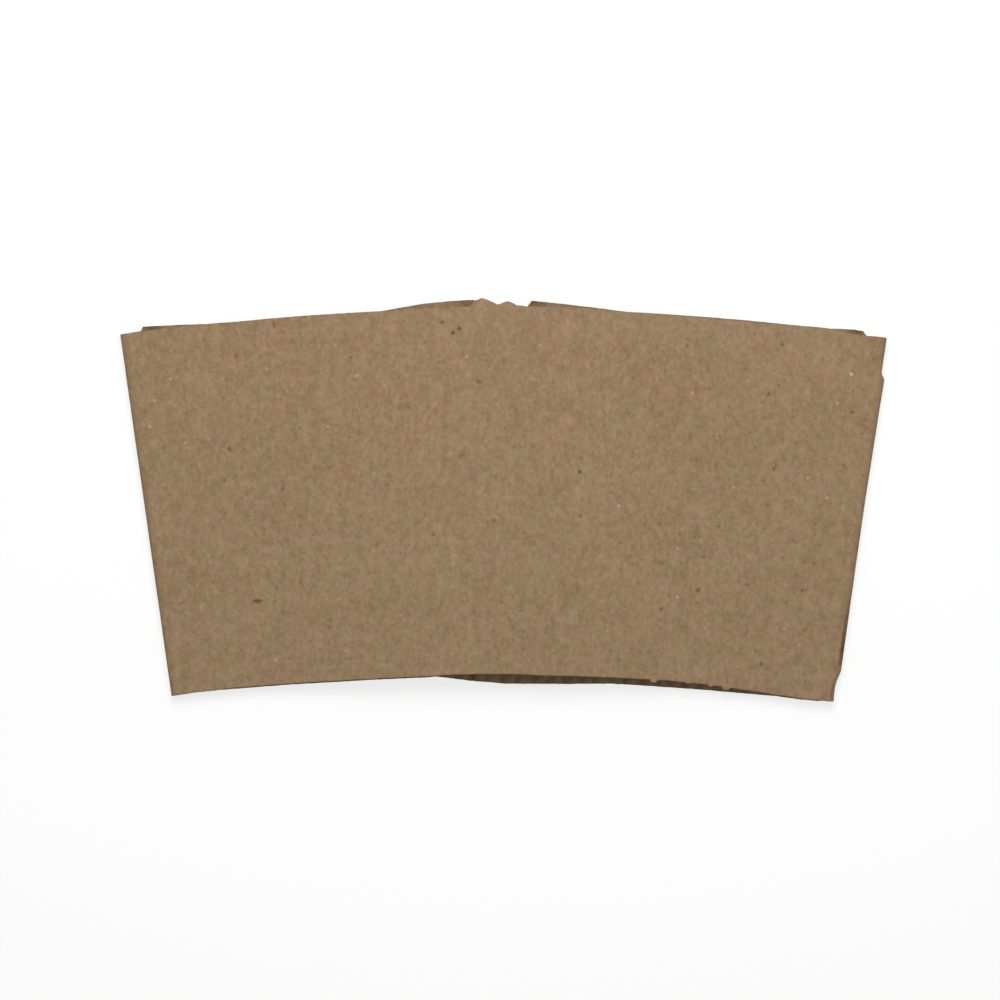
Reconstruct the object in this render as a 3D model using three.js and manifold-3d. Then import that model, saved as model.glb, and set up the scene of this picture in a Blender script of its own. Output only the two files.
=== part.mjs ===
import * as THREE from 'three';
import { mergeVertices } from 'three/addons/utils/BufferGeometryUtils.js';
import Module from 'manifold-3d';

const wasm = await Module();
wasm.setup();

// A takeaway cup sleeve, flat as it is packed: one die-cut blank of single-face kraft board,
// folded over along two leaning creases and glued to itself in a lap across the back.
// Millimetres. It lies on its back: X runs across it, Y up its centre line, the front faces +Z.

// The blank, a sector of a ring
const mouthWidth = 127.4; // fold to fold across the wide top edge
const slantHeight = 60.6; // from the bottom edge to the top edge, up the centre line
const foldLean = THREE.MathUtils.degToRad(8.08); // each crease leans out this much

// The board: a smooth liner outside, and a fluted medium bonded to its inside
const linerThickness = 0.25;
const mediumThickness = 0.18;
const fluteHeight = 0.8; // from the liner to the tips of the flutes
const flutePitch = 2.43;
const bondDepth = 0.05; // how far a flute beds into the glue and the liner it touches
const fluteFacets = 6; // flat faces along one flute's wave

// The folded state
const foldClearance = 0.2; // between facing flutes beside a fold
const creaseWidth = 2.6; // board crushed flat along each side of a fold
const creaseOverlap = 0.9; // of that, how much runs in under the fluted board
const creaseFacets = 10; // flat faces round the bend of a fold
const springGap = 2; // the front springs up this far off the lap at its middle
const springMargin = 5; // flat strip between the sprung part and the folds at the bottom
const rightFoldShift = 0.05; // the right crease lies this far out of place

// The lap, where the right wing's end is glued over the left wing's
const leftWingEnd = 4.5; // where the left wing's free end lies, from the centre line
const rightWingEnd = -5.1;
const rampLength = 4; // in which the right wing comes down from the lap
const rampClearance = 0.5; // between the left wing's end and the ramp
const rampReach = 6; // how far below the bottom arc the ramp still clears the left wing's end

// Where the cut edges stray from their arcs, as [place, distance]: the place runs from
// -1 at the left fold to 1 at the right, and the distance is in millimetres, out of the blank
const frontTopStray = [
  [-1, 0.3], [-0.92, 0.4], [-0.7, 0.1], [-0.35, 0.05], [-0.16, 0.35],
  [0.16, 0.35], [0.35, -0.1], [0.66, -0.3], [0.83, 0], [0.94, -0.45], [1, -0.3],
];
const frontBottomStray = [
  [-1, -0.41], [-0.8, -0.38], [-0.5, 0], [-0.24, 0], [-0.17, -0.2], [0.04, -0.2], [0.12, 0],
  [0.49, 0], [0.61, 0.18], [0.72, 0.5], [0.89, 0.88], [1, 0.6],
];
const leftTopStray = [
  [-1, 0.3], [-0.955, 0.35], [-0.942, 1.1], [-0.75, 0.15], [-0.33, 0.1], [-0.21, 1.15], [-0.13, 1.5],
];
const leftBottomStray = [[-1, -0.5], [-0.3, -0.3], [-0.205, 0], [-0.16, 0.5], [-0.1, 1]];
const rightTopStray = [[0.32, 0], [0.82, -0.1], [0.91, 0.35], [0.935, 0.3], [0.95, -0.4], [1, -0.5]];
const rightBottomStray = [
  [0, 1.45], [0.05, 1.47], [0.19, 1.4], [0.32, 1.1], [0.48, 1.15], [0.72, 1.1], [0.81, 0.9],
  [0.93, 0.6], [1, 0.3],
];
const leftWingPeak = 1.57; // how far the wings stand proud at the top, beside the lap
const rightWingPeak = 1.42;
const lapLow = -0.3; // the wings' top edge within the lap, just below the front's
const leftPeakDrop = 0.25; // across, in which a wing's top edge drops from its peak into the lap
const rightPeakDrop = 1.3;
const lapBottomProud = 1.1; // the bottom edge within the lap

// The torn nick that held the blank in its sheet: [across, distance out], on the front's top edge
const nickTear = [
  [-5.7, 0.35], [-5.1, 1.4], [-4.5, 1.45], [-3.8, 1.83], [-1.16, 0.73], [0.66, 1.23], [1.9, 0.6],
  [3.4, 0.43], [4.1, 0.35],
];

// The right fold is split and worn back at both ends: [down from the top edge, distance in]
const splitTop = [[0, 0.4], [5.9, 0.46], [7.2, 0]];
const splitBottom = [[5, 0.05], [3.5, 0.43], [1.8, 0.6], [0, 0.48]]; // up from the bottom edge

// Sizes that follow
const boardThickness = linerThickness + fluteHeight;
const foldThickness = 2 * boardThickness + foldClearance;
const crushedThickness = linerThickness + mediumThickness;
const topRadius = mouthWidth / 2 / Math.sin(foldLean);
const bottomRadius = topRadius - slantHeight;
const bottomHalfWidth = bottomRadius * Math.sin(foldLean);
const creaseInset = creaseWidth - creaseOverlap; // where the fluted board stops short of a fold
const springHalfWidth = bottomHalfWidth - springMargin;
const lapRise = boardThickness - bondDepth;
const frontRise = boardThickness + springGap;
const wingLean = 2 * foldLean; // the wings' flutes, mirrored about the folds
const rampFoot = leftWingEnd + rampClearance;

// How far each form runs past the next before it is trimmed, and how finely it is made
const endMargin = 36; // past the top and bottom edges
const sideMargin = 5.2; // past the folds and the wings' ends
const depthMargin = 8; // over and under the sleeve
const sweepLength = slantHeight + 2 * endMargin;
const cutDepth = 2 * (foldThickness + frontRise + depthMargin);
const edgeStep = 6; // longest facet of a cut edge
const mergeTolerance = 1e-5; // nearer corners become one

// A closed three.js geometry as a solid that can be joined and cut
function toSolid(geometry) {
  geometry.deleteAttribute('normal');
  geometry.deleteAttribute('uv');
  const merged = mergeVertices(geometry, mergeTolerance);
  return new wasm.Manifold(new wasm.Mesh({
    numProp: 3,
    vertProperties: Float32Array.from(merged.attributes.position.array),
    triVerts: Uint32Array.from(merged.index.array),
  }));
}

// A section of [across, height] points swept along Y, then leaned about the sector's centre
function sweep(points, lean) {
  const shape = new THREE.Shape(points.map(([across, height]) => new THREE.Vector2(across, height)));
  const geometry = new THREE.ExtrudeGeometry(shape, { depth: sweepLength, bevelEnabled: false });
  geometry.rotateX(Math.PI / 2);
  geometry.translate(0, (slantHeight + sweepLength) / 2 + bottomRadius, 0);
  geometry.rotateZ(-lean);
  geometry.translate(0, -bottomRadius, 0);
  return toSolid(geometry);
}

// A plan outline of [x, y] points as a cutter that passes through the whole sleeve
function cutter(points) {
  const shape = new THREE.Shape(points.map(([x, y]) => new THREE.Vector2(x, y)));
  const geometry = new THREE.ExtrudeGeometry(shape, { depth: cutDepth, bevelEnabled: false });
  geometry.translate(0, 0, -cutDepth / 2);
  return toSolid(geometry);
}

// The straight line between listed points, level beyond the first and the last
function along(points, place) {
  const after = points.findIndex(([at]) => at >= place);
  if (after === 0) return points[0][1];
  if (after < 0) return points[points.length - 1][1];
  const [[fromAt, from], [toAt, to]] = [points[after - 1], points[after]];
  return from + ((to - from) * (place - fromAt)) / (toAt - fromAt);
}

// Every place where a line between two limits needs a point: its own, and no step too long
function stations(places, from, to) {
  const inside = places.filter((place) => place > from && place < to);
  const ends = [from, ...inside, to];
  return ends.flatMap((end, index) => {
    if (index === 0) return [end];
    const count = Math.ceil((end - ends[index - 1]) / edgeStep);
    const step = (end - ends[index - 1]) / count;
    return Array.from({ length: count }, (_, number) => ends[index - 1] + step * (number + 1));
  });
}

// One cut edge: an arc about the sector's centre that strays outward by the listed distances
function cutEdge(radius, outward, strays) {
  const reach = mouthWidth / 2 + sideMargin;
  return stations(strays.map(([across]) => across), -reach, reach).map((across) => {
    const strayed = radius + outward * along(strays, across);
    return [across, Math.sqrt(strayed ** 2 - across ** 2) - bottomRadius];
  });
}

// Listed places, from -1 to 1, as distances across the sleeve
function spread(strays, halfWidth) {
  return strays.map(([place, distance]) => [place * halfWidth, distance]);
}

// All that lies between a top and a bottom edge
function band(topStrays, bottomStrays) {
  const top = cutEdge(topRadius, 1, topStrays);
  const bottom = cutEdge(bottomRadius, -1, bottomStrays);
  return cutter([...bottom, ...top.reverse()]);
}

// The height of the liner's inner face and the flutes' two faces, over the board's outer face
function fluteFaces(across) {
  const turn = (2 * Math.PI * across) / flutePitch;
  const swing = (fluteHeight + bondDepth - mediumThickness) / 2;
  const middle = linerThickness - bondDepth + mediumThickness / 2 + swing * (1 - Math.cos(turn));
  const slope = (swing * Math.sin(turn) * 2 * Math.PI) / flutePitch;
  const scale = mediumThickness / 2 / Math.hypot(1, slope);
  return {
    near: [across + slope * scale, middle - scale],
    far: [across - slope * scale, middle + scale],
  };
}

// Fluted board between two places across its flutes; shape says where its outer face lies
function board(from, to, lean, shape) {
  const first = Math.ceil(from / flutePitch);
  const count = Math.floor(to / flutePitch) - first;
  const crests = Array.from({ length: count + 1 }, (_, number) => (first + number) * flutePitch);
  const steps = Array.from({ length: count * fluteFacets + 1 }, (_, number) => (
    (first + number / fluteFacets) * flutePitch
  ));
  const place = (across, height) => [across, shape(across, height)];
  const liner = [
    ...crests.map((across) => place(across, 0)),
    ...crests.slice().reverse().map((across) => place(across, linerThickness)),
  ];
  const faces = steps.map(fluteFaces);
  const medium = [
    ...faces.map(({ near }) => place(...near)),
    ...faces.slice().reverse().map(({ far }) => place(...far)),
  ];
  return sweep(liner, lean).add(sweep(medium, lean));
}

// Smooth rise from 0 to 1 as a value goes from 0 to 1
function ease(value) {
  const held = Math.min(Math.max(value, 0), 1);
  return (1 - Math.cos(Math.PI * held)) / 2;
}

// The region between two lines that fan out from the sector's centre, each moved by a distance
function fan(leftLean, leftShift, rightLean, rightShift) {
  const at = (lean, shift, y) => [(y + bottomRadius) * Math.tan(lean) + shift / Math.cos(lean), y];
  return cutter([
    at(leftLean, leftShift, -endMargin),
    at(rightLean, rightShift, -endMargin),
    at(rightLean, rightShift, slantHeight + endMargin),
    at(leftLean, leftShift, slantHeight + endMargin),
  ]);
}

// The front panel, sprung up along its flutes
function frontPanel() {
  const half = mouthWidth / 2 + sideMargin;
  const rise = (across) => frontRise * ease(1 - Math.abs(across) / springHalfWidth);
  return board(-half, half, 0, (across, height) => foldThickness + rise(across) - height)
    .intersect(fan(-foldLean, creaseInset, foldLean, rightFoldShift - creaseInset))
    .intersect(frontBand());
}

// The front's cut edges, with the torn nick in the top one
function frontBand() {
  const top = spread(frontTopStray, mouthWidth / 2);
  const [tearFrom, tearTo] = [nickTear[0][0], nickTear[nickTear.length - 1][0]];
  const torn = [
    ...top.filter(([across]) => across < tearFrom),
    ...nickTear,
    ...top.filter(([across]) => across > tearTo),
  ];
  return band(torn, spread(frontBottomStray, bottomHalfWidth));
}

// The left wing lies flat underneath, with its free end under the lap
function leftWing() {
  const farthest = topRadius * Math.sin(wingLean) + leftWingEnd + sideMargin;
  const top = [
    ...spread(leftTopStray, mouthWidth / 2),
    [rightWingEnd, leftWingPeak],
    [rightWingEnd + leftPeakDrop, lapLow],
  ];
  const bottom = [...spread(leftBottomStray, bottomHalfWidth), [leftWingEnd, lapBottomProud]];
  return board(bottomHalfWidth - sideMargin, farthest, -wingLean, (across, height) => height)
    .intersect(fan(-foldLean, creaseInset, 0, leftWingEnd))
    .intersect(band(top, bottom));
}

// The right wing lies over the left one in the lap, and comes down beside it along its flutes
function rightWing() {
  const farthest = topRadius * Math.sin(wingLean) - rightWingEnd + sideMargin;
  const rampStart = rampFoot * Math.cos(wingLean) - (bottomRadius - rampReach) * Math.sin(wingLean);
  const lift = (across) => lapRise * ease(1 - (across - rampStart) / rampLength);
  const top = [
    [leftWingEnd - rightPeakDrop, lapLow],
    [leftWingEnd, rightWingPeak],
    ...spread(rightTopStray, mouthWidth / 2),
  ];
  const bottom = [[rightWingEnd, lapBottomProud], ...spread(rightBottomStray, bottomHalfWidth)];
  return board(-farthest, sideMargin - bottomHalfWidth, wingLean, (across, height) => height + lift(across))
    .intersect(fan(0, rightWingEnd, foldLean, rightFoldShift - creaseInset))
    .intersect(band(top, bottom));
}

// The crushed board round a fold: a half-round bend with two flat legs, side 1 right or -1 left
function crease(side, shift) {
  const outer = foldThickness / 2;
  const inner = outer - crushedThickness;
  const bend = (radius, turn) => [
    side * (radius * Math.cos(turn) - outer) + shift,
    outer + radius * Math.sin(turn),
  ];
  const turns = Array.from({ length: creaseFacets + 1 }, (_, number) => (
    Math.PI * (0.5 - number / creaseFacets)
  ));
  const leg = shift - side * creaseWidth;
  const section = [
    [leg, foldThickness],
    ...turns.map((turn) => bend(outer, turn)),
    [leg, 0],
    [leg, crushedThickness],
    ...turns.slice().reverse().map((turn) => bend(inner, turn)),
    [leg, foldThickness - crushedThickness],
  ];
  return sweep(section, side * foldLean).intersect(frontBand());
}

// What the split ends of the right fold have lost
function splitEnds() {
  const at = (radius, inset) => {
    const out = rightFoldShift - inset;
    return [
      radius * Math.sin(foldLean) + out * Math.cos(foldLean),
      radius * Math.cos(foldLean) - out * Math.sin(foldLean) - bottomRadius,
    ];
  };
  const lost = (line, radiusAt) => cutter([
    at(radiusAt(-sideMargin), -sideMargin),
    at(radiusAt(-sideMargin), line[0][1]),
    ...line.map(([distance, inset]) => at(radiusAt(distance), inset)),
    at(radiusAt(line[line.length - 1][0]), -sideMargin),
  ]);
  const top = lost(splitTop, (distance) => topRadius - distance);
  const bottom = lost(splitBottom.slice().reverse(), (distance) => bottomRadius + distance);
  return top.add(bottom);
}

// The finished solid, with its origin under the middle of its footprint
function sleeveGeometry() {
  const solid = [frontPanel(), leftWing(), rightWing(), crease(-1, 0), crease(1, rightFoldShift)]
    .reduce((sum, part) => sum.add(part))
    .subtract(splitEnds());
  const { vertProperties, triVerts } = solid.getMesh();
  const geometry = new THREE.BufferGeometry();
  geometry.setAttribute('position', new THREE.BufferAttribute(Float32Array.from(vertProperties), 3));
  geometry.setIndex(new THREE.BufferAttribute(Uint32Array.from(triVerts), 1));
  geometry.computeBoundingBox();
  const middle = geometry.boundingBox.getCenter(new THREE.Vector3());
  geometry.translate(-middle.x, -middle.y, -geometry.boundingBox.min.z);
  geometry.computeVertexNormals();
  return geometry;
}

const kraft = new THREE.MeshStandardMaterial({ color: 0x947b5f, roughness: 0.92, metalness: 0 });

const sleeve = new THREE.Mesh(sleeveGeometry(), kraft);
sleeve.name = 'sleeve';

const model = new THREE.Group();
model.add(sleeve);

export default model;
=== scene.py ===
"""A flat-folded kraft board cup sleeve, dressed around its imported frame.

The blank is one sheet: a smooth liner outside and a fluted medium inside, folded over along two
leaning creases and lapped at the back. The sheet is drawn in millimetres, and set_in_box turns
them into the frame's metres.
"""
import math
import random

import bpy
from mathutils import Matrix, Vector, noise


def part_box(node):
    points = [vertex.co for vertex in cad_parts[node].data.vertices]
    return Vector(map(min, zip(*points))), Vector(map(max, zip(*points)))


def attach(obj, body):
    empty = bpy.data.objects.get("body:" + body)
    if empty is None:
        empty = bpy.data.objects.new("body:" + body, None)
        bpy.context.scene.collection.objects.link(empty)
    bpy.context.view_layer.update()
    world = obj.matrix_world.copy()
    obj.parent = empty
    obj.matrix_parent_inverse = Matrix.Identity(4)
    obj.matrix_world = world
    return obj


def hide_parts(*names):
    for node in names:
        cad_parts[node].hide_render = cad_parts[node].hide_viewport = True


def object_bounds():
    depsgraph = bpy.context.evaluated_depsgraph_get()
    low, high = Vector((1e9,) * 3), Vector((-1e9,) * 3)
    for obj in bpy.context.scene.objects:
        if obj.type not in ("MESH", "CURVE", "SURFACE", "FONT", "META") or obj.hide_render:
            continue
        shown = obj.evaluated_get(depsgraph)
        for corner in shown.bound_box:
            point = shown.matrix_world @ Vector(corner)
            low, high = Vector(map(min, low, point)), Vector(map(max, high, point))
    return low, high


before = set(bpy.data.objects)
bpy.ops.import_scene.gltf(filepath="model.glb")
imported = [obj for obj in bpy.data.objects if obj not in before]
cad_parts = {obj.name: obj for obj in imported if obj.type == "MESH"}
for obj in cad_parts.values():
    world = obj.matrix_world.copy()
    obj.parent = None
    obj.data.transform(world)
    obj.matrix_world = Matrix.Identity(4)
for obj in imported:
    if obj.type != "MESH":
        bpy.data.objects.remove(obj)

cad_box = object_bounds()

MM = 0.001

# The blank, a sector of a ring
MOUTH_WIDTH = 127.4
SLANT_HEIGHT = 60.6
LEAN = math.radians(8.08)
TOP_RADIUS = MOUTH_WIDTH / 2 / math.sin(LEAN)
BOTTOM_RADIUS = TOP_RADIUS - SLANT_HEIGHT
TOP_HALF = MOUTH_WIDTH / 2
BOTTOM_HALF = BOTTOM_RADIUS * math.sin(LEAN)

# The board
LINER = 0.25
MEDIUM = 0.18
FLUTE_HEIGHT = 0.8  # from the liner to the flutes' tips
PITCH = 2.43
BOND = 0.05  # how far a flute beds into the glue and the liner
BOARD = LINER + FLUTE_HEIGHT
CRUSHED = LINER + MEDIUM

# The folded state
FOLD_CLEARANCE = 0.2
FOLD = 2 * BOARD + FOLD_CLEARANCE
BEND = FOLD / 2  # the folds' outer radius
CREASE_WIDTH = 2.6
CREASE_INSET = 1.7  # where the flutes stop short of a fold
CRUSH_RAMP = 0.5  # in which the crushed board gives way to the liner
SPRING_INSET = 5
SPRING_HALF = BOTTOM_HALF - SPRING_INSET
SPRING_GAP = 2
FRONT_RISE = BOARD + SPRING_GAP
RIGHT_SHIFT = 0.05  # of the right fold, outwards

# The lap
LEFT_END = 4.5
RIGHT_END = -5.1
LAP_RISE = BOARD - BOND
RAMP_LENGTH = 4
RAMP_CLEARANCE = 0.5
RAMP_FOOT = LEFT_END + RAMP_CLEARANCE
RAMP_REACH = SLANT_HEIGHT / 10  # how far below the bottom arc the ramp still clears the left wing's end
RAMP_START = RAMP_FOOT * math.cos(2 * LEAN) - (BOTTOM_RADIUS - RAMP_REACH) * math.sin(2 * LEAN)
LEFT_PEAK = 1.57
RIGHT_PEAK = 1.42
LAP_LOW = -0.3
LAP_BOTTOM = 1.1
LEFT_DROP = 0.25
RIGHT_DROP = 1.3


def spread(strays, half):
    """Listed places, from -1 to 1, as distances across the sleeve."""
    return [(place * half, out) for place, out in strays]


# How far each cut edge strays out of its arc: (place across, millimetres out)
FRONT_TOP = spread([
    (-1, 0.3), (-0.92, 0.4), (-0.7, 0.1), (-0.35, 0.05), (-0.16, 0.35),
    (0.16, 0.35), (0.35, -0.1), (0.66, -0.3), (0.83, 0), (0.94, -0.45), (1, -0.3)], TOP_HALF)
FRONT_BOTTOM = spread([
    (-1, -0.41), (-0.8, -0.38), (-0.5, 0), (-0.24, 0), (-0.17, -0.2), (0.04, -0.2), (0.12, 0), (0.49, 0),
    (0.61, 0.18), (0.72, 0.5), (0.89, 0.88), (1, 0.6)], BOTTOM_HALF)
LEFT_TOP = spread([
    (-1, 0.3), (-0.948, 0.35), (-0.942, 1.1), (-0.75, 0.15), (-0.33, 0.1), (-0.21, 1.15), (-0.13, 1.5)],
    TOP_HALF)
LEFT_TOP += [(RIGHT_END, LEFT_PEAK), (RIGHT_END + LEFT_DROP, LAP_LOW)]
LEFT_BOTTOM = spread([
    (-1, -0.5), (-0.88, -0.4), (-0.8, -0.18), (-0.5, 0.23), (-0.24, 0.25), (-0.205, 0.15), (-0.16, 0.5),
    (-0.1, 1)], BOTTOM_HALF)
LEFT_BOTTOM += [(LEFT_END, LAP_BOTTOM)]
RIGHT_TOP = [(LEFT_END - RIGHT_DROP, LAP_LOW), (LEFT_END, RIGHT_PEAK)]
RIGHT_TOP += spread([
    (0.32, 0), (0.82, -0.1), (0.91, 0.35), (0.933, 0.3), (0.941, -0.4), (1, -0.5)], TOP_HALF)
RIGHT_BOTTOM = [(RIGHT_END, 1.0)]
RIGHT_BOTTOM += spread([
    (0, 1.45), (0.05, 1.47), (0.19, 1.4), (0.32, 1.1), (0.48, 1.15), (0.72, 1.1), (0.81, 0.97),
    (0.89, 1.04), (0.94, 0.9), (1, 0.3)], BOTTOM_HALF)

# The torn nick in the front's top edge: (millimetres across, millimetres out). Then the torn bits that
# hang from its bottom edge: (millimetres across, half width, length)
NICK = [
    (-5.7, 0.35), (-5.1, 1.4), (-4.5, 1.45), (-3.8, 1.83), (-1.16, 0.73), (0.66, 1.23), (1.9, 0.6),
    (3.4, 0.43), (4.1, 0.35)]
BURRS = [(24.6, 0.62, 0.48), (30.4, 0.5, 0.18), (34.0, 0.45, 0.28), (36.6, 0.72, 0.48)]
BURR_STEEPNESS = 2.2

# How rough the edges are: (millimetres from bump to bump, millimetres high)
TORN_ROUGH = (0.5, 0.12)
FRONT_ROUGH = (0.5, 0.03)
FRONT_WANDER = (2.5, 0.05)
WING_ROUGH = (0.6, 0.04)

# How far the outer face rounds off at its cut edges, and over what reach
EDGE_ROUND, ROUND_REACH = 0.05, 0.12

# The right fold: how it bows, (millimetres from its top end, millimetres out), and what its split
# ends have lost, (millimetres from the end, millimetres in)
BOW = [(0, 0.1), (6.2, 0.1), (6.8, 0.16), (7.6, 0.18), (10.5, 0.1), (20, -0.03), (27, -0.15)]
WORN_TOP = [(0, 0.5), (4.8, 0.5), (5.6, 0.54), (6.1, 0.42), (6.5, 0.18), (6.9, 0)]
WORN_BOTTOM = [(0, 0.5), (1.8, 0.6), (2.8, 0.6), (3.6, 0.42), (4.4, 0.2), (5.1, 0)]

# How both folds crumple, and how far they are squashed within a reach of their ends
CRUMPLE = 0.05
SQUASH, SQUASH_REACH = 0.12, 0.6

# How dark the painted shade along the right fold is, by millimetres from its bottom end, how wide it
# is and how wide its soft side is
FOLD_SHADE = [(4.6, 0), (5.1, 0.66), (8.5, 0.58), (12.5, 0.45), (16.7, 0.1), (18, 0)]
FOLD_SHADE_WIDTH = 0.95
FOLD_SHADE_FADE = 0.45
FOLD_SHADE_LOW = 0.3  # it lies above this height

# Painted shade on the wings' top edges, beside the nick and the folds: (millimetres across, half width)
WING_SHADE_MARKS = [(-58.4, 2.4), (-6.1, 1.7), (5.3, 1.9), (58.2, 1.8)]
WING_SHADE_DARKNESS = 0.42
WING_SHADE_REACH, WING_SHADE_FADE = 1.2, 0.6  # down from the top arc
WING_SHADE_STEEPNESS = 1.3

# Flecks that stand out on the front: (across, up, length, width, degrees, strength), paler above 0.
# A scratch program that searched the photo gave 49 of the 51 places, and the strengths follow the
# contrasts it printed. The sizes and turns are rounded from it or set one by one.
FLECKS = [
    (12.5, 4.8, 0.8, 0.7, 0, -0.62), (-8.4, 27.8, 0.75, 0.7, 0, -0.6), (-10.2, 29.5, 0.8, 0.7, 0, -0.55),
    (-7.4, 28.5, 0.8, 0.75, 0, -0.5), (32.2, -14.7, 1.1, 0.65, 50, -0.55),
    (-40.8, -16.6, 1.9, 0.7, 5, -0.62), (-45.5, 8.6, 0.85, 0.7, 80, -0.5),
    (42.6, -27.0, 0.95, 0.6, 60, -0.5), (43.8, 17.7, 0.85, 0.6, 40, -0.45),
    (44.6, 5.3, 0.7, 0.7, 0, -0.42), (-4.1, 19.7, 1.1, 0.7, 0, -0.42), (49.3, -14.9, 0.7, 0.6, 30, -0.42),
    (-1.6, -3.2, 0.85, 0.65, 0, -0.38), (30.4, 25.7, 0.7, 0.7, 0, -0.4),
    (57.7, 14.6, 0.8, 0.55, 45, -0.42), (46.1, 25.9, 0.85, 0.65, 110, -0.48),
    (26.1, -17.9, 0.7, 0.7, 0, -0.36), (40.2, -13.9, 0.7, 0.6, 0, -0.42),
    (33.0, -9.1, 0.7, 0.6, 0, -0.34), (-36.7, 2.0, 0.7, 0.6, 90, -0.33),
    (-44.3, 24.0, 1.0, 0.5, 50, -0.34), (47.8, -6.5, 0.6, 0.6, 0, -0.33),
    (12.7, -2.5, 0.8, 0.55, 75, -0.34), (-11.7, -5.6, 0.8, 0.6, 0, -0.32),
    (-7.0, 7.5, 1.6, 0.7, 10, -0.22), (-38.1, 29.1, 1.5, 0.45, 108, -0.42),
    (-25.3, 23.7, 0.8, 0.6, 130, -0.32), (57.8, 18.2, 0.7, 0.6, 0, -0.32),
    (-18.5, -3.6, 0.7, 0.7, 0, -0.3), (57.5, 21.0, 0.7, 0.7, 0, 1.1), (28.7, -15.9, 0.6, 0.6, 0, 0.6),
    (50.3, 3.8, 0.6, 0.6, 0, 0.6), (38.0, 2.3, 0.6, 0.6, 0, 0.58), (19.0, -0.8, 0.6, 0.6, 0, 0.58),
    (-58.7, 12.3, 0.6, 0.6, 0, 0.56), (-57.9, 16.6, 0.6, 0.5, 0, 0.54), (28.7, -7.9, 0.6, 0.5, 0, 0.52),
    (-55.2, 20.2, 0.6, 0.6, 0, 0.5), (31.2, 17.9, 0.6, 0.6, 0, 0.5), (33.2, -21.0, 0.6, 0.6, 0, 0.5),
    (-29.1, 12.3, 0.6, 0.5, 0, 0.48), (46.4, -21.2, 0.6, 0.6, 0, 0.48), (-24.4, 20.7, 1.1, 0.5, 35, 0.55),
    (-26.1, -24.8, 0.6, 0.6, 0, 0.46), (53.4, 0.5, 0.6, 0.6, 0, 0.45), (55.2, 16.2, 0.6, 0.6, 0, 0.45),
    (-52.9, 9.6, 0.6, 0.6, 0, 0.44), (-37.8, -26.3, 0.6, 0.6, 0, 0.42), (-6.2, 23.8, 0.6, 0.6, 0, 0.42),
    (6.0, 25.7, 0.6, 0.6, 0, 0.4), (-19.8, 19.2, 1.7, 0.4, 120, 0.3),
]
FLECK_ORIGIN = (-0.13, 28.83)  # the place on the sheet that the listed flecks are measured from
FLECK_PROUD = 0.004
FLECK_DEPTH = 0.1
FLECK_SPREAD = 0.62  # a lens reaches this share of its fleck's size from the middle to its clear rim
FLECK_SIDES = 10
FLECK_UNEVEN = 0.22
FLECK_RINGS = [(0.5, 0.85), (1.0, 0.0)]  # (share of its size, share of its strength)

# Flecks and fibres at random places: how many, and between which limits they are drawn
RANDOM_FLECKS = [(110, -0.34, -0.12), (110, 0.14, 0.4)]  # (count, lowest strength, highest)
RANDOM_SIZE = (0.14, 0.27)
RANDOM_LENGTHENED = (1, 1.7)
FIBRES = 420
FIBRE_STRENGTHS = (-0.18, 0.2, 0.3)
FIBRE_LENGTH = (0.9, 2.4)
FIBRE_WIDTH = (0.07, 0.13)
FIBRE_CURL = (-1.6, 1.6)
FIBRE_STEPS = 6
FIBRE_TIP = 0.35  # how many steps short of nothing a fibre's ends are cut off
RANDOM_MARGIN = 3  # from the top and bottom arcs
RANDOM_LEAN = LEAN - 0.009  # how far to either side

# How the front warps: (waves across, waves up, height) of the broad and the narrow waves, how much is
# taken off so that they go down and not up, and where they fade out towards the folds
WARP = (26, 60, 0.12)
RIPPLE = (9, 40, 0.03)
WARP_DROP = 0.06
WARP_END, WARP_FADE = SPRING_HALF + 4, 12

# The mesh: columns across the sheet, and rows along each of them
FRONT_COLUMN = 0.6
NICK_COLUMN = 0.22
LEAST_FRONT_COLUMN = 0.09
WING_COLUMN = 0.8
LEAST_WING_COLUMN = 0.04
BEND_COLUMNS = 18
BURR_COLUMNS = [-1, -0.8, -0.6, -0.4, 0, 0.4, 0.6, 0.8, 1]
EDGE_ROWS = [0, 0.05, 0.12, 0.3, 0.7, 1.5]
LOW_ROWS = [2.6, 3.5, 4.4, 5.2]
HIGH_ROWS = [3.2, 4.8, 5.6, 6.1, 6.5, 6.9, 7.6, 9]
MIDDLE_ROWS = 15
FLUTE_STEPS = 14
FLUTE_ROWS = 7
FLUTE_SETBACK = 0.02  # from the liner's edges
FLUTE_MARGIN = 0.4
TORN_FLUTE = 0.45  # how far past the top arc the flutes reach in the nick
LEAST_FLUTE = 0.5
FAR_FROM_EDGE = 9.0

# The mesh's materials: the liner, the cut edges and the fluted medium
FACE, CUT, FLUTE = 0, 1, 2


def along(points, place):
    """The straight line between listed points, level beyond the ends."""
    if place <= points[0][0]:
        return points[0][1]
    for (x0, y0), (x1, y1) in zip(points, points[1:]):
        if place <= x1:
            return y0 + (y1 - y0) * (place - x0) / (x1 - x0)
    return points[-1][1]


def ease(value):
    """From 0 to 1 along half a cosine wave, level beyond both."""
    held = min(max(value, 0.0), 1.0)
    return (1 - math.cos(math.pi * held)) / 2


def rough(x, seed, size, amount):
    """A small smooth wander along a line, the same each run."""
    return amount * noise.noise(Vector((x / size, seed * 7.3, 0.5)))


def with_nick(strays):
    """The front's top edge with its middle torn out."""
    low, high = NICK[0][0], NICK[-1][0]
    return [p for p in strays if p[0] < low] + NICK + [p for p in strays if p[0] > high]


FRONT_TORN = with_nick(FRONT_TOP)


def burr(x):
    """How far a torn bit hangs below the front's bottom edge: blunt, with steep sides."""
    return max(length * ease(BURR_STEEPNESS * (1 - abs(x - at) / width)) for at, width, length in BURRS)


# The radius of each cut edge at x


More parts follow.
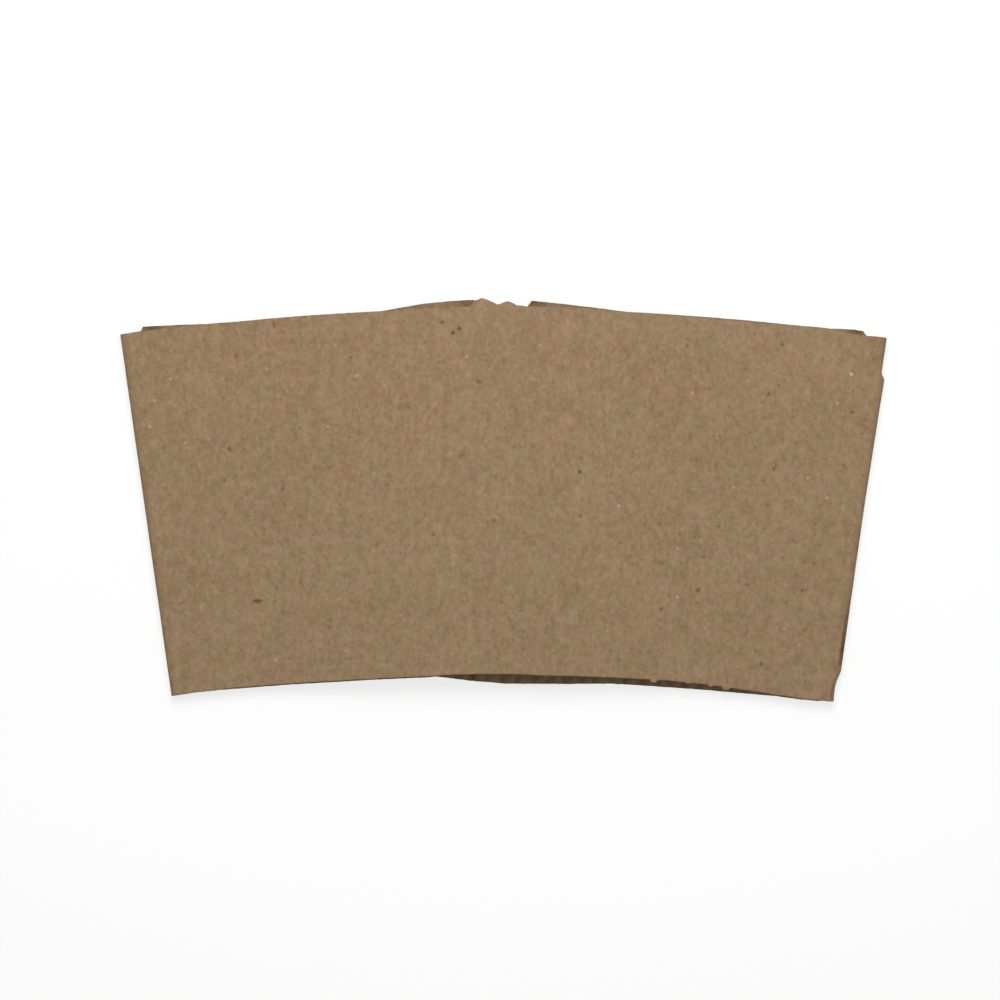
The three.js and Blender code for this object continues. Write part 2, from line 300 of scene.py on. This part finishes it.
def front_top(x):
    tear = TORN_ROUGH if NICK[0][0] < x < NICK[-1][0] else FRONT_ROUGH
    return TOP_RADIUS + along(FRONT_TORN, x) + rough(x, 1, *tear) + rough(x, 2, *FRONT_WANDER)


def front_bottom(x):
    wander = rough(x, 3, *FRONT_ROUGH) + rough(x, 4, *FRONT_WANDER)
    return BOTTOM_RADIUS - along(FRONT_BOTTOM, x) - burr(x) + wander


def left_top(x):
    return TOP_RADIUS + along(LEFT_TOP, x) + rough(x, 5, *WING_ROUGH)


def left_bottom(x):
    return BOTTOM_RADIUS - along(LEFT_BOTTOM, x) + rough(x, 6, *WING_ROUGH)


def right_top(x):
    return TOP_RADIUS + along(RIGHT_TOP, x) + rough(x, 7, *WING_ROUGH)


def right_bottom(x):
    return BOTTOM_RADIUS - along(RIGHT_BOTTOM, x) + rough(x, 8, *WING_ROUGH)


def waves(x, y, across, up, height, seed):
    return height * noise.noise(Vector((x / across, y / up, seed)))


def front_height(x, y):
    """The front's outer face: sprung up along its flutes, with a little warp."""
    free = min(1.0, max(0.0, (WARP_END - abs(x)) / WARP_FADE))
    warp = waves(x, y, *WARP, 3.1) + waves(x, y, *RIPPLE, 8.2)
    spring = FRONT_RISE * ease(1 - abs(x) / SPRING_HALF)
    return FOLD + spring + free * min(-FLECK_PROUD, warp - WARP_DROP)


def left_lift(x, y):
    """The left wing's outer face: on the floor."""
    return 0.0


def right_lift(x, y):
    """The right wing's outer face: on the floor, and up over the left wing's end in the lap."""
    across = x * math.cos(2 * LEAN) - (y + BOTTOM_RADIUS) * math.sin(2 * LEAN)
    return LAP_RISE * ease(1 - (across - RAMP_START) / RAMP_LENGTH)


def rim_point(x, radius_at):
    """The point on a cut edge that lies at x."""
    return x, math.sqrt(radius_at(x) ** 2 - x * x) - BOTTOM_RADIUS


def fold_point(side, radius, out):
    """The point beside a fold line, a distance out from it and a radius up it."""
    x = radius * math.sin(LEAN) + out * math.cos(LEAN)
    y = radius * math.cos(LEAN) - out * math.sin(LEAN) - BOTTOM_RADIUS
    return side * x, y


def row_places(length):
    """Where the rows cross a column, from 0 to 1, close together beside its cut ends."""
    low = [row / length for row in EDGE_ROWS + LOW_ROWS]
    high = [1 - row / length for row in EDGE_ROWS + HIGH_ROWS]
    span = high[-1] - low[-1]
    middle = [low[-1] + span * (i + 1) / (MIDDLE_ROWS + 1) for i in range(MIDDLE_ROWS)]
    return low + middle + high[::-1]


def worn(side, distance_up, length):
    """How far a worn fold end is pushed in."""
    if side < 0:
        return 0.0
    return max(along(WORN_TOP, length - distance_up), along(WORN_BOTTOM, distance_up))


# The sheet is a list of columns. Each holds its rows of (outer point, inner point, place across the
# flutes, distance from the nearer cut edge).


def flat_column(bottom, top, height, facing, thick, flute_lean):
    """A straight column of the front (facing 1) or of a wing (facing -1)."""
    length = math.dist(bottom, top)
    rows = []
    for place in row_places(length):
        x = bottom[0] + (top[0] - bottom[0]) * place
        y = bottom[1] + (top[1] - bottom[1]) * place
        edge = min(place, 1 - place) * length
        round_off = EDGE_ROUND * max(0.0, 1 - edge / ROUND_REACH) ** 2
        z = height(x, y)
        across = x * math.cos(flute_lean) - (y + BOTTOM_RADIUS) * math.sin(flute_lean)
        rows.append(((x, y, z - facing * round_off), (x, y, z - facing * thick), across, edge))
    return rows


def bend_column(side, turn, shift):
    """A column on the bend of a fold, at an angle from level: 90 degrees is the front."""
    rows = []
    out = BEND * (math.cos(turn) - 1) + shift
    low = fold_edge(side, front_bottom, BOTTOM_RADIUS, out)
    high = fold_edge(side, front_top, TOP_RADIUS, out)
    for place in row_places(high - low):
        radius = low + (high - low) * place
        edge = min(place, 1 - place) * (high - low)
        loss = worn(side, radius - low, high - low)
        if side > 0:
            loss -= along(BOW, high - radius)
        crumple = CRUMPLE * min(0.0, noise.noise(Vector((radius / 3.0, turn * 1.5, 11.0 + side))))
        squash = 1 - max(0.0, SQUASH_REACH - edge) * SQUASH
        reach = BEND + crumple * math.cos(turn)
        outer = fold_section(side, turn, reach, shift, loss, radius, squash)
        inner = fold_section(side, turn, reach - CRUSHED, shift, loss, radius, squash)
        rows.append((outer, inner, 0.0, edge))
    return rows


def fold_edge(side, radius_at, radius, out):
    """The radius at which a cut edge crosses a line beside the fold."""
    for _ in range(3):
        radius = radius_at(fold_point(side, radius, out)[0])
    return radius


def fold_section(side, turn, reach, shift, loss, radius, squash):
    """A point of the bend's section, pushed in where the fold is worn."""
    out = reach * math.cos(turn) - BEND
    pressed = loss * max(0.0, math.cos(turn)) ** 0.7
    x, y = fold_point(side, radius, out + shift - pressed)
    return x, y, BEND + reach * math.sin(turn) * squash


def bend_start(side, radius_at, radius, shift):
    """Where a cut edge meets the line at which the bend starts."""
    out = shift - BEND
    return fold_point(side, fold_edge(side, radius_at, radius, out), out)[0]


def thickness(inside):
    """The liner's, or the crushed board's beside a fold, by the distance from where the bend starts."""
    return CRUSHED + (LINER - CRUSHED) * ease((inside - (CREASE_WIDTH - BEND)) / CRUSH_RAMP)


def steps(start, end, size):
    """Even steps from start to end, none longer than size."""
    count = max(1, math.ceil(abs(end - start) / size))
    return [start + (end - start) * i / count for i in range(count + 1)]


def front_columns():
    """From the left fold's bend to the right fold's."""
    start = bend_start(-1, front_top, TOP_RADIUS, 0.0)
    end = bend_start(1, front_top, TOP_RADIUS, RIGHT_SHIFT)
    low_start = bend_start(-1, front_bottom, BOTTOM_RADIUS, 0.0)
    low_end = bend_start(1, front_bottom, BOTTOM_RADIUS, RIGHT_SHIFT)
    places = steps(start, end, FRONT_COLUMN)
    places += [x for x, _ in NICK]
    places += steps(NICK[0][0], NICK[-1][0], NICK_COLUMN)
    for at, half, _ in BURRS:
        places += [(at + share * half) * TOP_HALF / BOTTOM_HALF for share in BURR_COLUMNS]
    columns = []
    for x in thinned(sorted(places), LEAST_FRONT_COLUMN):
        share = (x - start) / (end - start)
        bottom = rim_point(low_start + (low_end - low_start) * share, front_bottom)
        thick = thickness(min(x - start, end - x))
        columns.append(flat_column(bottom, rim_point(x, front_top), front_height, 1, thick, 0.0))
    return columns


def thinned(places, least):
    """Sorted places without those that follow the last too closely."""
    kept = [places[0]]
    for place in places[1:]:
        if place - kept[-1] >= least:
            kept.append(place)
    kept[-1] = places[-1]
    return kept


def wing_columns(side, top_at, bottom_at, height, free_end, shift, extra):
    """From the free end out to the fold's bend."""
    top_fold = bend_start(side, top_at, TOP_RADIUS, shift)
    low_fold = bend_start(side, bottom_at, BOTTOM_RADIUS, shift)
    places = steps(free_end, top_fold, WING_COLUMN)
    low, high = sorted((free_end, top_fold))
    places = thinned(sorted(places + [x for x in extra if low < x < high]), LEAST_WING_COLUMN)
    columns = []
    for x in places if side > 0 else reversed(places):
        share = (x - free_end) / (top_fold - free_end)
        bottom = rim_point(free_end + (low_fold - free_end) * share, bottom_at)
        thick = thickness(abs(x - top_fold))
        columns.append(flat_column(bottom, rim_point(x, top_at), height, -1, thick, side * 2 * LEAN))
    return columns


# Each wing: its side, its two cut edges, its outer face's height, its free end and its fold's shift
LEFT_WING = (-1, left_top, left_bottom, left_lift, LEFT_END, 0.0)
RIGHT_WING = (1, right_top, right_bottom, right_lift, RIGHT_END, RIGHT_SHIFT)


def sheet_columns():
    """The whole sheet, from the left wing's free end round both folds to the right wing's."""
    turns = [math.pi * (i + 1) / (BEND_COLUMNS + 1) - math.pi / 2 for i in range(BEND_COLUMNS)]
    columns = wing_columns(*LEFT_WING, [x for x, _ in LEFT_TOP])
    columns += [bend_column(-1, turn, 0.0) for turn in turns]
    columns += front_columns()
    columns += [bend_column(1, turn, RIGHT_SHIFT) for turn in reversed(turns)]
    columns += reversed(wing_columns(*RIGHT_WING, [x for x, _ in RIGHT_TOP]))
    return columns


class Builder:
    """Vertices, faces, a material for each face and three numbers for each vertex."""

    def __init__(self):
        self.points = []
        self.faces = []
        self.slots = []
        self.smooth = []
        self.across = []
        self.edge = []
        self.fleck = []

    def add(self, point, across, edge, fleck=0.0):
        """A vertex: its place, its place across the flutes, how far in it is, and its fleck's strength."""
        self.points.append(point)
        self.across.append(across)
        self.edge.append(edge)
        self.fleck.append(fleck)
        return len(self.points) - 1

    def face(self, corners, slot, smooth=True):
        self.faces.append(corners)
        self.slots.append(slot)
        self.smooth.append(smooth and slot != CUT)

    def grid(self, ids, slot, flip=False):
        """The faces between neighbouring columns of vertices."""
        for near, far in zip(ids, ids[1:]):
            for j in range(len(near) - 1):
                quad = (near[j], far[j], far[j + 1], near[j + 1])
                self.face(quad[::-1] if flip else quad, slot)

    def close(self, near, far):
        """The cut edges all round, between two grids."""
        for a, b, c, d in zip(near, near[1:], far, far[1:]):
            self.face((a[0], c[0], d[0], b[0]), CUT)
            self.face((a[-1], b[-1], d[-1], c[-1]), CUT)
        for rows, back, flip in ((near[0], far[0], False), (near[-1], far[-1], True)):
            for j in range(len(rows) - 1):
                quad = (rows[j], rows[j + 1], back[j + 1], back[j])
                self.face(quad[::-1] if flip else quad, CUT)


def add_liner(build):
    columns = sheet_columns()
    outer = [[build.add(o, across, edge) for o, _, across, edge in rows] for rows in columns]
    inner = [[build.add(i, across, edge) for _, i, across, edge in rows] for rows in columns]
    build.grid(outer, FACE)
    build.grid(inner, FLUTE, flip=True)
    build.close(outer, inner)


def wave(across):
    """The flutes' two faces across the board: (across, height) on the liner's side and off it."""
    swing = (FLUTE_HEIGHT + BOND - MEDIUM) / 2
    turn = 2 * math.pi * across / PITCH
    middle = LINER - BOND + MEDIUM / 2 + swing * (1 - math.cos(turn))
    slope = swing * math.sin(turn) * 2 * math.pi / PITCH
    scale = MEDIUM / 2 / math.hypot(1, slope)
    return (across + slope * scale, middle - scale), (across - slope * scale, middle + scale)


def add_ribbon(build, spans, place):
    """A fluted ribbon. spans maps each step across to where its flute starts and ends."""
    near, far = [], []
    for across, low, high in spans:
        sides = wave(across)
        for ids, (s, height) in zip((near, far), sides):
            rows = []
            for k in range(FLUTE_ROWS):
                v = low + (high - low) * k / (FLUTE_ROWS - 1)
                edge = min(v - low, high - v)
                rows.append(build.add(place(s, v, height), across, edge))
            ids.append(rows)
    build.grid(near, FLUTE)
    build.grid(far, FLUTE, flip=True)
    build.close(near, far)


def flute_steps(start, end):
    """Steps across whole flutes only, between two places."""
    first, last = math.ceil(start / PITCH), math.floor(end / PITCH)
    return [(first + i / FLUTE_STEPS) * PITCH for i in range((last - first) * FLUTE_STEPS + 1)]


def add_front_flutes(build):
    half = TOP_HALF - CREASE_INSET - FLUTE_MARGIN
    spans = []
    for x in flute_steps(-half, half):
        shift = RIGHT_SHIFT if x > 0 else 0.0
        beside = (abs(x) * math.cos(LEAN) - shift + CREASE_INSET) / math.sin(LEAN) - BOTTOM_RADIUS
        low = max(rim_point(x, front_bottom)[1] + burr(x), beside)
        high = rim_point(x, lambda at: TOP_RADIUS + min(along(FRONT_TORN, at), TORN_FLUTE))[1]
        spans.append((x, low + FLUTE_SETBACK, high - FLUTE_SETBACK))
    add_ribbon(build, spans, lambda s, v, height: (s, v, front_height(s, v) - height))


def add_wing_flutes(build, side, top_at, bottom_at, height, free_end, shift):
    """A wing's flutes, worked out as if the wing were the right one and mirrored by side."""
    cos2, sin2 = math.cos(2 * LEAN), math.sin(2 * LEAN)
    end = side * free_end

    def plan(s, v):
        x = s * cos2 + v * sin2
        return side * x, -s * sin2 + v * cos2 - BOTTOM_RADIUS

    def reach(s, radius_at, radius):
        for _ in range(4):
            v = math.sqrt(radius * radius - s * s)
            radius = radius_at(plan(s, v)[0])
        return math.sqrt(radius * radius - s * s)

    spans = []
    for s in flute_steps(-TOP_RADIUS * sin2 + end - 2, -BOTTOM_HALF + 4):
        beside_fold = ((shift - CREASE_INSET) - s * math.cos(LEAN)) / math.sin(LEAN)
        high = min(reach(s, top_at, TOP_RADIUS), beside_fold)
        low = max(reach(s, bottom_at, BOTTOM_RADIUS), (end - s * cos2) / sin2)
        if high - low > LEAST_FLUTE:
            spans.append((s, low + FLUTE_SETBACK, high - FLUTE_SETBACK))

    def place(s, v, up):
        x, y = plan(s, v)
        return x, y, height(x, y) + up

    add_ribbon(build, spans, place)


def add_shell(build, rings, bottom):
    """A small closed shell: rings of (x, y, fleck) from its middle out, and a point underneath."""
    def lift(x, y, up):
        return x, y, front_height(x, y) + up

    ids = []
    for place, ring in enumerate(rings):
        up = FLECK_PROUD * (1 - place / (len(rings) - 1))
        ids.append([build.add(lift(x, y, up), x, FAR_FROM_EDGE, fleck) for x, y, fleck in ring])
    under = build.add(lift(*bottom, -FLECK_DEPTH), bottom[0], FAR_FROM_EDGE)
    centre, first = ids[0], ids[1]
    count = len(first)
    for j in range(count):
        k = (j + 1) % count
        build.face((centre[0], first[j], first[k]), FACE, False)
        for inner, outer in zip(ids[1:], ids[2:]):
            build.face((inner[j], outer[j], outer[k], inner[k]), FACE, False)
        build.face((ids[-1][k], ids[-1][j], under), FACE, False)


def add_fleck(build, draw, x, y, length, width, degrees, strength):
    """A lens let into the front, full of its colour in the middle and clear at its rim."""
    turn = math.radians(degrees)
    rings = [[(x, y, strength)]]
    shape = [1 + draw.uniform(-FLECK_UNEVEN, FLECK_UNEVEN) for _ in range(FLECK_SIDES)]
    for share, level in FLECK_RINGS:
        ring = []
        for j in range(FLECK_SIDES):
            angle = 2 * math.pi * j / FLECK_SIDES
            out = length * share * shape[j] * math.cos(angle)
            side = width * share * shape[j] * math.sin(angle)
            ring.append((
                x + out * math.cos(turn) - side * math.sin(turn),
                y + out * math.sin(turn) + side * math.cos(turn), strength * level))
        rings.append(ring)
    add_shell(build, rings, (x, y))


def add_fibre(build, x, y, length, width, heading, curl, strength):
    """A fibre let into the front: a bent ribbon with its colour along the middle."""
    step = length / FIBRE_STEPS
    spine = []
    for _ in range(FIBRE_STEPS + 1):
        spine.append((x, y, heading))
        x, y = x + step * math.cos(heading), y + step * math.sin(heading)
        heading += curl / FIBRE_STEPS
    lines = []
    for j, (px, py, angle) in enumerate(spine):
        taper = math.sin(math.pi * (j + FIBRE_TIP) / (FIBRE_STEPS + 2 * FIBRE_TIP))
        dx, dy = -math.sin(angle) * width * taper, math.cos(angle) * width * taper
        z = front_height(px, py)
        lines.append([
            build.add((px - dx, py - dy, z), px, FAR_FROM_EDGE),
            build.add((px, py, z + FLECK_PROUD), px, FAR_FROM_EDGE, strength * taper),
            build.add((px + dx, py + dy, z), px, FAR_FROM_EDGE),
            build.add((px, py, z - FLECK_DEPTH), px, FAR_FROM_EDGE)])
    for near, far in zip(lines, lines[1:]):
        for j in range(4):
            k = (j + 1) % 4
            build.face((near[j], far[j], far[k], near[k]), FACE, False)
    build.face(tuple(lines[0]), FACE, False)
    build.face(tuple(reversed(lines[-1])), FACE, False)


def random_place(draw):
    """Anywhere on the front, clear of its edges."""
    up = draw.uniform(RANDOM_MARGIN, SLANT_HEIGHT - RANDOM_MARGIN)
    turn = draw.uniform(-1, 1) * RANDOM_LEAN
    radius = BOTTOM_RADIUS + up
    return radius * math.sin(turn), radius * math.cos(turn) - BOTTOM_RADIUS


def add_flecks(build):
    """The listed flecks, then the random ones. The order of the draws sets every place."""
    draw = random.Random(7)
    for x, y, length, width, degrees, strength in FLECKS:
        x, y = x + FLECK_ORIGIN[0], y + FLECK_ORIGIN[1]
        add_fleck(build, draw, x, y, length * FLECK_SPREAD, width * FLECK_SPREAD, degrees, strength)
    for count, low, high in RANDOM_FLECKS:
        for _ in range(count):
            strength = draw.uniform(low, high)
            size = draw.uniform(*RANDOM_SIZE)
            x, y = random_place(draw)
            length = size * draw.uniform(*RANDOM_LENGTHENED)
            add_fleck(build, draw, x, y, length, size, draw.uniform(0, 180), strength)
    for _ in range(FIBRES):
        strength = draw.choice(FIBRE_STRENGTHS)
        length, width = draw.uniform(*FIBRE_LENGTH), draw.uniform(*FIBRE_WIDTH)
        x, y = random_place(draw)
        heading, curl = draw.uniform(0, 6.28), draw.uniform(*FIBRE_CURL)
        add_fibre(build, x, y, length, width, heading, curl, strength)


def painted_shade(point):
    """How much darker the board is painted, as shade: along the right fold, and on the wings beside the
    nick and the folds.
    """
    x, y, z = point
    radius = math.hypot(x, y + BOTTOM_RADIUS)
    out = x * math.cos(LEAN) - (y + BOTTOM_RADIUS) * math.sin(LEAN)
    fold_shade = wing_shade = 0.0
    if z > FOLD_SHADE_LOW:
        fold_shade = ease((out + FOLD_SHADE_WIDTH) / FOLD_SHADE_FADE) * along(FOLD_SHADE, radius - BOTTOM_RADIUS)
    if z < FOLD:
        wing_shade = max(ease(WING_SHADE_STEEPNESS * (1 - abs(x - at) / half)) for at, half in WING_SHADE_MARKS)
    high = ease((radius - TOP_RADIUS + WING_SHADE_REACH) / WING_SHADE_FADE)
    return max(fold_shade, WING_SHADE_DARKNESS * high * wing_shade)


def set_in_box(points, low, high):
    """The drawing's millimetres in the frame's metres, middle on middle and inside the box."""
    axes = []
    for values, start, end in zip(zip(*points), low, high):
        middle, reach = (min(values) + max(values)) / 2, (max(values) - min(values)) * MM
        scale = MM * min(1.0, (end - start) / reach)
        axes.append([(start + end) / 2 + (value - middle) * scale for value in values])
    return list(zip(*axes))


def make_sleeve():
    build = Builder()
    add_liner(build)
    add_front_flutes(build)
    add_wing_flutes(build, *LEFT_WING)
    add_wing_flutes(build, *RIGHT_WING)
    add_flecks(build)
    # the painted shade at each vertex, from the right fold and the wings' top edges
    painted_shades = [painted_shade(point) for point in build.points]
    mesh = bpy.data.meshes.new("sleeve_board")
    mesh.from_pydata(set_in_box(build.points, *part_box("sleeve")), [], build.faces)
    values_of = {"across": build.across, "edge": build.edge, "fleck": build.fleck, "painted_shade": painted_shades}
    for name, values in values_of.items():
        mesh.attributes.new(name, "FLOAT", "POINT").data.foreach_set("value", values)
    mesh.polygons.foreach_set("material_index", build.slots)
    mesh.polygons.foreach_set("use_smooth", build.smooth)
    mesh.update()
    board = bpy.data.objects.new("sleeve_board", mesh)
    bpy.context.scene.collection.objects.link(board)
    return board


# Materials


def tree_of(material):
    """A new material's nodes, its links and its shader."""
    material.use_nodes = True
    nodes, links = material.node_tree.nodes, material.node_tree.links
    return nodes, links, nodes["Principled BSDF"]


class Wires:
    """Short names for the shader nodes that the kraft materials share."""

    def __init__(self, material):
        self.nodes, self.links, self.shader = tree_of(material)
        self.place = self.nodes.new("ShaderNodeTexCoord").outputs["Object"]

    def link(self, source, target):
        """A socket is wired to the target, and a plain value is set on it."""
        if hasattr(source, "is_linked"):
            self.links.new(source, target)
        else:
            target.default_value = source

    def calculate(self, kind, first, second=0.0, third=0.0, clamp=False):
        node = self.nodes.new("ShaderNodeMath")
        node.operation = kind
        node.use_clamp = clamp
        for socket, value in zip(node.inputs, (first, second, third)):
            self.link(value, socket)
        return node.outputs[0]

    def moved(self, scale, seed):
        """The place on the sleeve, stretched, and moved by the seed."""
        node = self.nodes.new("ShaderNodeVectorMath")
        node.operation = "MULTIPLY_ADD"
        self.link(self.place, node.inputs[0])
        node.inputs[1].default_value = scale
        node.inputs[2].default_value = (seed * 0.137, seed * 0.211, 0)
        return node.outputs[0]

    def noise(self, scale, detail=0.0, stretch=(1, 1, 1), seed=0.0):
        """Noise between about -1 and 1, with cells one over scale of a metre across."""
        node = self.nodes.new("ShaderNodeTexNoise")
        node.inputs["Scale"].default_value = scale
        node.inputs["Detail"].default_value = detail
        node.inputs["Roughness"].default_value = 0.55
        self.link(self.moved(stretch, seed), node.inputs["Vector"])
        return self.calculate("MULTIPLY_ADD", node.outputs[0], 2.0, -1.0)

    def specks(self, cell, radius, share, seed):
        """Random round specks: 1 inside them and 0 outside, in a share of the cells."""
        node = self.nodes.new("ShaderNodeTexVoronoi")
        node.voronoi_dimensions = "2D"
        node.inputs["Scale"].default_value = 1 / (cell * MM)
        self.link(self.moved((1, 1, 1), seed), node.inputs["Vector"])
        inside = self.calculate("SUBTRACT", radius / cell, node.outputs["Distance"])
        soft = self.calculate("MULTIPLY", inside, cell / radius * 2.5, clamp=True)
        split = self.nodes.new("ShaderNodeSeparateColor")
        self.link(node.outputs["Color"], split.inputs[0])
        chosen = self.calculate("LESS_THAN", split.outputs[0], share)
        strong = self.calculate("MULTIPLY", split.outputs[1], chosen)
        return self.calculate("MULTIPLY", soft, strong)

    def colours(self, scale, seed):
        """Noise in which each colour channel wanders by itself, about 0."""
        node = self.nodes.new("ShaderNodeTexNoise")
        node.inputs["Scale"].default_value = scale
        node.inputs["Detail"].default_value = 1.0
        self.link(self.moved((1, 1, 1), seed), node.inputs["Vector"])
        centred = self.nodes.new("ShaderNodeVectorMath")
        centred.operation = "SUBTRACT"
        self.link(node.outputs["Color"], centred.inputs[0])
        centred.inputs[1].default_value = (0.5, 0.5, 0.5)
        return centred.outputs[0]

    def add_scaled(self, vector, factor, base):
        """vector times factor, plus base, channel by channel."""
        node = self.nodes.new("ShaderNodeVectorMath")
        node.operation = "MULTIPLY_ADD"
        self.link(vector, node.inputs[0])
        node.inputs[1].default_value = factor
        self.link(base, node.inputs[2])
        return node.outputs[0]

    def attribute(self, name):
        node = self.nodes.new("ShaderNodeAttribute")
        node.attribute_name = name
        return node.outputs["Fac"]

    def sum(self, terms):
        """The sum of (value, weight) pairs."""
        total = 0.0
        for value, weight in terms:
            total = self.calculate("MULTIPLY_ADD", value, weight, total)
        return total


# Colours are linear: the kraft as the photo's front shows it, and how each channel takes a change
KRAFT = (0.3, 0.199, 0.114)
TINT = (0.86, 1.0, 1.26)
BLOTCH = 0.105
FLUTE_SHADE = 0.008  # painted shade along the flutes on the liner, beside the bump that shapes them
# painted shade along the cut edges, where they round off
EDGE_SHADE = 0.22
EDGE_SHADE_FADE = 3.2  # how fast the painted edge shade fades, per millimetre from the cut edge


def kraft(name, level, flute_shade_and_bump, grain, seed):
    """Unbleached board: mottle at several sizes, dark and pale specks, and painted shade along the cut
    edges.

    level is how bright it is beside the liner, the flute flag whether the flutes show through it, as
    painted shade and as bumps, and grain how strong its mottle is.
    """
    material = bpy.data.materials.new(name)
    wires = Wires(material)
    upright = (1.15, 0.85, 1.0)
    terms = [
        (wires.noise(2100, 0.0, upright, seed), 0.14 * grain),
        (wires.noise(1100, 0.0, upright, seed + 1), 0.185 * grain),
        (wires.noise(480, 0.0, upright, seed + 2), 0.1 * grain),
        (wires.noise(110, 1.5, (1, 1, 1), seed + 3), 0.075 * grain),
        (wires.specks(1.6, 0.34, 0.5, seed + 5), -0.17),
        (wires.specks(1.9, 0.3, 0.4, seed + 7), 0.2),
        (wires.attribute("fleck"), 1.0),
        # painted shade along the right fold and on the wings' top edges
        (wires.attribute("painted_shade"), -1.0),
    ]
    turn = wires.calculate("MULTIPLY", wires.attribute("across"), 2 * math.pi / PITCH)
    flute = wires.calculate("COSINE", turn)
    # painted shade along the flutes
    if flute_shade_and_bump:
        terms.append((flute, -FLUTE_SHADE))
    # painted shade within a third of a millimetre of each cut edge
    nearness = wires.calculate("MULTIPLY_ADD", wires.attribute("edge"), -EDGE_SHADE_FADE, 1.0, clamp=True)
    terms.append((wires.calculate("POWER", nearness, 1.5), -EDGE_SHADE))
    change = wires.sum(terms)
    shade = [level * base for base in KRAFT]
    blotched = wires.add_scaled(wires.colours(430, seed + 10), [base * BLOTCH for base in shade], shade)
    tinted = wires.add_scaled(change, [base * tint for base, tint in zip(shade, TINT)], blotched)
    wires.link(tinted, wires.shader.inputs["Base Color"])
    wires.shader.inputs["Roughness"].default_value = 0.88
    wires.shader.inputs["Specular IOR Level"].default_value = 0.18
    bump = wires.nodes.new("ShaderNodeBump")
    bump.inputs["Strength"].default_value = 0.5
    bump.inputs["Distance"].default_value = 0.02 * MM
    relief = wires.noise(1500, 1.0, upright, seed + 8)
    if flute_shade_and_bump:
        relief = wires.calculate("MULTIPLY_ADD", flute, 0.5, relief)
    wires.link(relief, bump.inputs["Height"])
    wires.link(bump.outputs[0], wires.shader.inputs["Normal"])
    return material


board = make_sleeve()
board.data.materials.append(kraft("kraft_liner", level=1.0, flute_shade_and_bump=True, grain=1.0, seed=0.0))
# the cut faces: the same kraft painted darker, as shade
board.data.materials.append(kraft("kraft_cut_edge_shaded", level=0.72, flute_shade_and_bump=False, grain=1.2, seed=20.0))
board.data.materials.append(kraft("kraft_medium", level=0.86, flute_shade_and_bump=False, grain=1.2, seed=40.0))
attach(board, "root")
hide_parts("sleeve")


# The room: a pale floor, a big soft lamp up the picture, and even light from all round
FLOOR_HALF = 3.0
FLOOR_GLOW = 1.08
FLOOR_GLOW_SHARE = 0.7
PICTURE_WIDTH = 0.16558
PICTURE_PIXELS = 1000
PIXELS_LEFT = 3.5  # how far the camera stands left of the sleeve's middle
CAMERA_HEIGHT = 1.2  # over the folds
SENSOR_WIDTH = 36


def make_floor():
    """A pale floor that the camera sees a little brighter than it lights the sleeve."""
    mesh = bpy.data.meshes.new("floor")
    corners = [(x * FLOOR_HALF, y * FLOOR_HALF, 0) for x, y in ((-1, -1), (1, -1), (1, 1), (-1, 1))]
    mesh.from_pydata(corners, [], [(0, 1, 2, 3)])
    floor = bpy.data.objects.new("floor", mesh)
    bpy.context.scene.collection.objects.link(floor)
    material = bpy.data.materials.new("pale_floor")
    nodes, links, shader = tree_of(material)
    shader.inputs["Base Color"].default_value = (0.86, 0.86, 0.86, 1)
    shader.inputs["Roughness"].default_value = 0.9
    shader.inputs["Specular IOR Level"].default_value = 0.0
    glow = nodes.new("ShaderNodeEmission")
    glow.inputs["Strength"].default_value = FLOOR_GLOW
    mix = nodes.new("ShaderNodeMixShader")
    seen = nodes.new("ShaderNodeLightPath")
    share = nodes.new("ShaderNodeMath")
    share.operation = "MULTIPLY"
    share.inputs[1].default_value = FLOOR_GLOW_SHARE
    links.new(seen.outputs["Is Camera Ray"], share.inputs[0])
    links.new(share.outputs[0], mix.inputs[0])
    links.new(shader.outputs[0], mix.inputs[1])
    links.new(glow.outputs[0], mix.inputs[2])
    links.new(mix.outputs[0], nodes["Material Output"].inputs["Surface"])
    mesh.materials.append(material)


def make_lamp(name, where, aim, size, power):
    data = bpy.data.lights.new(name, "AREA")
    data.shape = "DISK"
    data.size = size
    data.energy = power
    lamp = bpy.data.objects.new(name, data)
    lamp.location = where
    lamp.rotation_euler = (Vector(aim) - Vector(where)).to_track_quat("-Z", "Y").to_euler()
    bpy.context.scene.collection.objects.link(lamp)


def make_world(level):
    world = bpy.data.worlds.new("even_light")
    bpy.context.scene.world = world
    world.use_nodes = True
    back = world.node_tree.nodes["Background"]
    back.inputs["Color"].default_value = (1, 1, 1, 1)
    back.inputs["Strength"].default_value = level


def make_camera():
    """Straight above, with the photograph's up as +Y."""
    data = bpy.data.cameras.new("camera")
    data.sensor_width = SENSOR_WIDTH
    data.lens = SENSOR_WIDTH * CAMERA_HEIGHT / PICTURE_WIDTH
    camera = bpy.data.objects.new("camera", data)
    middle = (Vector(cad_box[0]) + Vector(cad_box[1])) / 2
    aside = PIXELS_LEFT * PICTURE_WIDTH / PICTURE_PIXELS
    camera.location = (middle.x - aside, middle.y, CAMERA_HEIGHT + FOLD * MM)
    bpy.context.scene.collection.objects.link(camera)
    bpy.context.scene.camera = camera


make_floor()
make_lamp("key", where=(0.005, 0.2, 0.33), aim=(0, 0, 0), size=0.25, power=1.16)
make_world(level=0.376)
make_camera()
bpy.context.scene.view_settings.view_transform = "Standard"
